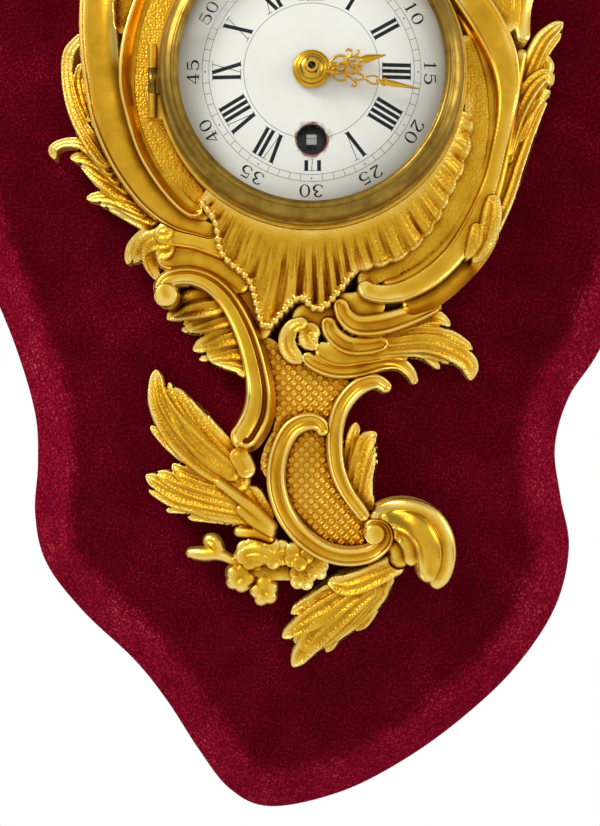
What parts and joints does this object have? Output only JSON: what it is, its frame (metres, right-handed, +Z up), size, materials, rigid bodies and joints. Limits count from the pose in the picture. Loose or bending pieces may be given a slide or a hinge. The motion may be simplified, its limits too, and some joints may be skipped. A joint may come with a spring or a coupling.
{
  "type": "cartel clock",
  "caption": "Asymmetrical gilt wall clock of scrolls and leaves on a bevelled crimson velvet board, with domed enamel dial, hinged convex glass and spring-driven movement",
  "frame": {"origin": "on the board's rear face, on the axis of the dial", "axes": "+Z up, -Y the front with the dial, +X to the viewer's right, all in metres"},
  "size_m": [0.2586, 0.0725, 0.4974],
  "materials": {
    "gilt_bronze": "matt stippled gilding, burnished on the ridges",
    "bezel_brass": "dull olive brass, turned",
    "movement_brass": "brushed brass",
    "steel": "dark polished steel",
    "wood": "plain oiled wood",
    "velvet": "deep crimson velvet pile",
    "enamel": "white fired enamel, glossy",
    "glass": "clear polished glass"
  },
  "bodies": {
    "clock_case": {"board": "wood", "velvet_cover": "velvet", "hanging_plate": "steel", "hanging_screws": "steel", "casting_studs": "steel", "stud_nuts": "steel", "case_shell": "gilt_bronze", "shell_apron": "gilt_bronze", "left_frame": "gilt_bronze", "right_frame": "gilt_bronze", "left_tail_scroll": "gilt_bronze", "right_acanthus": "gilt_bronze", "inner_scroll": "gilt_bronze", "right_tail_scroll": "gilt_bronze", "tail_volute": "gilt_bronze", "bottom_leaf": "gilt_bronze", "left_leaf_spray": "gilt_bronze", "flower_spray": "gilt_bronze", "tail_panel": "gilt_bronze", "crest_shell": "gilt_bronze", "crest_left_scroll": "gilt_bronze", "crest_right_scroll": "gilt_bronze", "crest_plume": "gilt_bronze", "crest_panel": "gilt_bronze", "hinge_pin": "bezel_brass", "dial": "enamel", "dial_pins": "movement_brass", "front_plate": "movement_brass", "back_plate": "movement_brass", "pillars": "movement_brass", "plate_screws": "steel", "movement_screws": "steel", "click_screw": "steel", "click_spring": "steel", "hairspring": "steel", "balance_cock": "movement_brass", "cock_screws": "steel"},
    "bezel": {"bezel_ring": "bezel_brass", "bezel_glass": "glass", "glass_retainer": "bezel_brass"},
    "minute_arbor": {"cannon_pinion": "movement_brass", "minute_hand": "gilt_bronze", "hand_collet": "gilt_bronze", "hand_pin": "steel"},
    "hour_pipe": {"hour_wheel": "movement_brass", "hour_hand": "gilt_bronze"},
    "minute_wheel": {"minute_wheel": "movement_brass"},
    "barrel": {"barrel": "movement_brass", "mainspring": "steel"},
    "winding_arbor": {"barrel_arbor": "steel", "ratchet_wheel": "steel"},
    "click": {"click": "steel"},
    "intermediate_wheel": {"intermediate_wheel": "movement_brass"},
    "centre_wheel": {"centre_wheel": "movement_brass"},
    "third_wheel": {"third_wheel": "movement_brass"},
    "fourth_wheel": {"fourth_wheel": "movement_brass"},
    "escape_wheel": {"escape_wheel": "movement_brass"},
    "balance": {"balance": "movement_brass"},
    "regulator": {"regulator": "steel"}
  },
  "joints": [
    {"name": "bezel_hinge", "type": "hinge", "parent": "clock_case", "child": "bezel", "pos_m": [-0.0513, -0.0567, -0.003], "axis": [0, 0, -1], "range_deg": [0, 95]},
    {"name": "minute_turn", "type": "hinge", "parent": "clock_case", "child": "minute_arbor", "pos_m": [0, -0.0592, 0], "axis": [0, 1, 0], "continuous": true},
    {"name": "hour_turn", "type": "hinge", "parent": "clock_case", "child": "hour_pipe", "pos_m": [0, -0.0572, 0], "axis": [0, 1, 0], "continuous": true},
    {"name": "minute_wheel_turn", "type": "hinge", "parent": "clock_case", "child": "minute_wheel", "pos_m": [0.01128, -0.0502, 0.0041], "axis": [0, 1, 0], "continuous": true},
    {"name": "fourth_turn", "type": "hinge", "parent": "clock_case", "child": "fourth_wheel", "pos_m": [-0.00244, -0.0342, 0.01391], "axis": [0, 1, 0], "continuous": true},
    {"name": "barrel_turn", "type": "hinge", "parent": "clock_case", "child": "barrel", "pos_m": [0, -0.0342, -0.022], "axis": [0, 1, 0], "continuous": true},
    {"name": "intermediate_turn", "type": "hinge", "parent": "clock_case", "child": "intermediate_wheel", "pos_m": [-0.0137, -0.0392, -0.00972], "axis": [0, 1, 0], "continuous": true},
    {"name": "centre_turn", "type": "hinge", "parent": "clock_case", "child": "centre_wheel", "pos_m": [0, -0.0392, 0], "axis": [0, 1, 0], "continuous": true},
    {"name": "third_turn", "type": "hinge", "parent": "clock_case", "child": "third_wheel", "pos_m": [0.00955, -0.0392, 0.00955], "axis": [0, 1, 0], "continuous": true},
    {"name": "escape_turn", "type": "hinge", "parent": "clock_case", "child": "escape_wheel", "pos_m": [-0.01329, -0.0322, 0.00996], "axis": [0, 1, 0], "continuous": true},
    {"name": "winding", "type": "hinge", "parent": "clock_case", "child": "winding_arbor", "pos_m": [0, -0.0492, -0.022], "axis": [0, 1, 0], "range_deg": [0, 1440]},
    {"name": "click_rock", "type": "hinge", "parent": "clock_case", "child": "click", "pos_m": [0.012, -0.0502, -0.019], "axis": [0, 1, 0], "range_deg": [0, 12], "stiffness_Nm_per_rad": 0.002},
    {"name": "balance_swing", "type": "hinge", "parent": "clock_case", "child": "balance", "pos_m": [-0.01539, -0.0242, 0.01573], "axis": [0, 1, 0], "range_deg": [-140, 140], "stiffness_Nm_per_rad": 0.00001},
    {"name": "regulator_set", "type": "hinge", "parent": "clock_case", "child": "regulator", "pos_m": [-0.01539, -0.0172, 0.01573], "axis": [0, 1, 0], "range_deg": [-20, 20]}
  ],
  "couplings": [
    {"joint": "hour_turn", "follows": "minute_turn", "ratio": 0.083333},
    {"joint": "minute_wheel_turn", "follows": "minute_turn", "ratio": -0.33333},
    {"joint": "escape_turn", "follows": "fourth_turn", "ratio": -10},
    {"joint": "third_turn", "follows": "fourth_turn", "ratio": -0.13333},
    {"joint": "centre_turn", "follows": "fourth_turn", "ratio": 0.016667},
    {"joint": "intermediate_turn", "follows": "fourth_turn", "ratio": -0.0027778},
    {"joint": "barrel_turn", "follows": "fourth_turn", "ratio": 0.00041667}
  ]
}
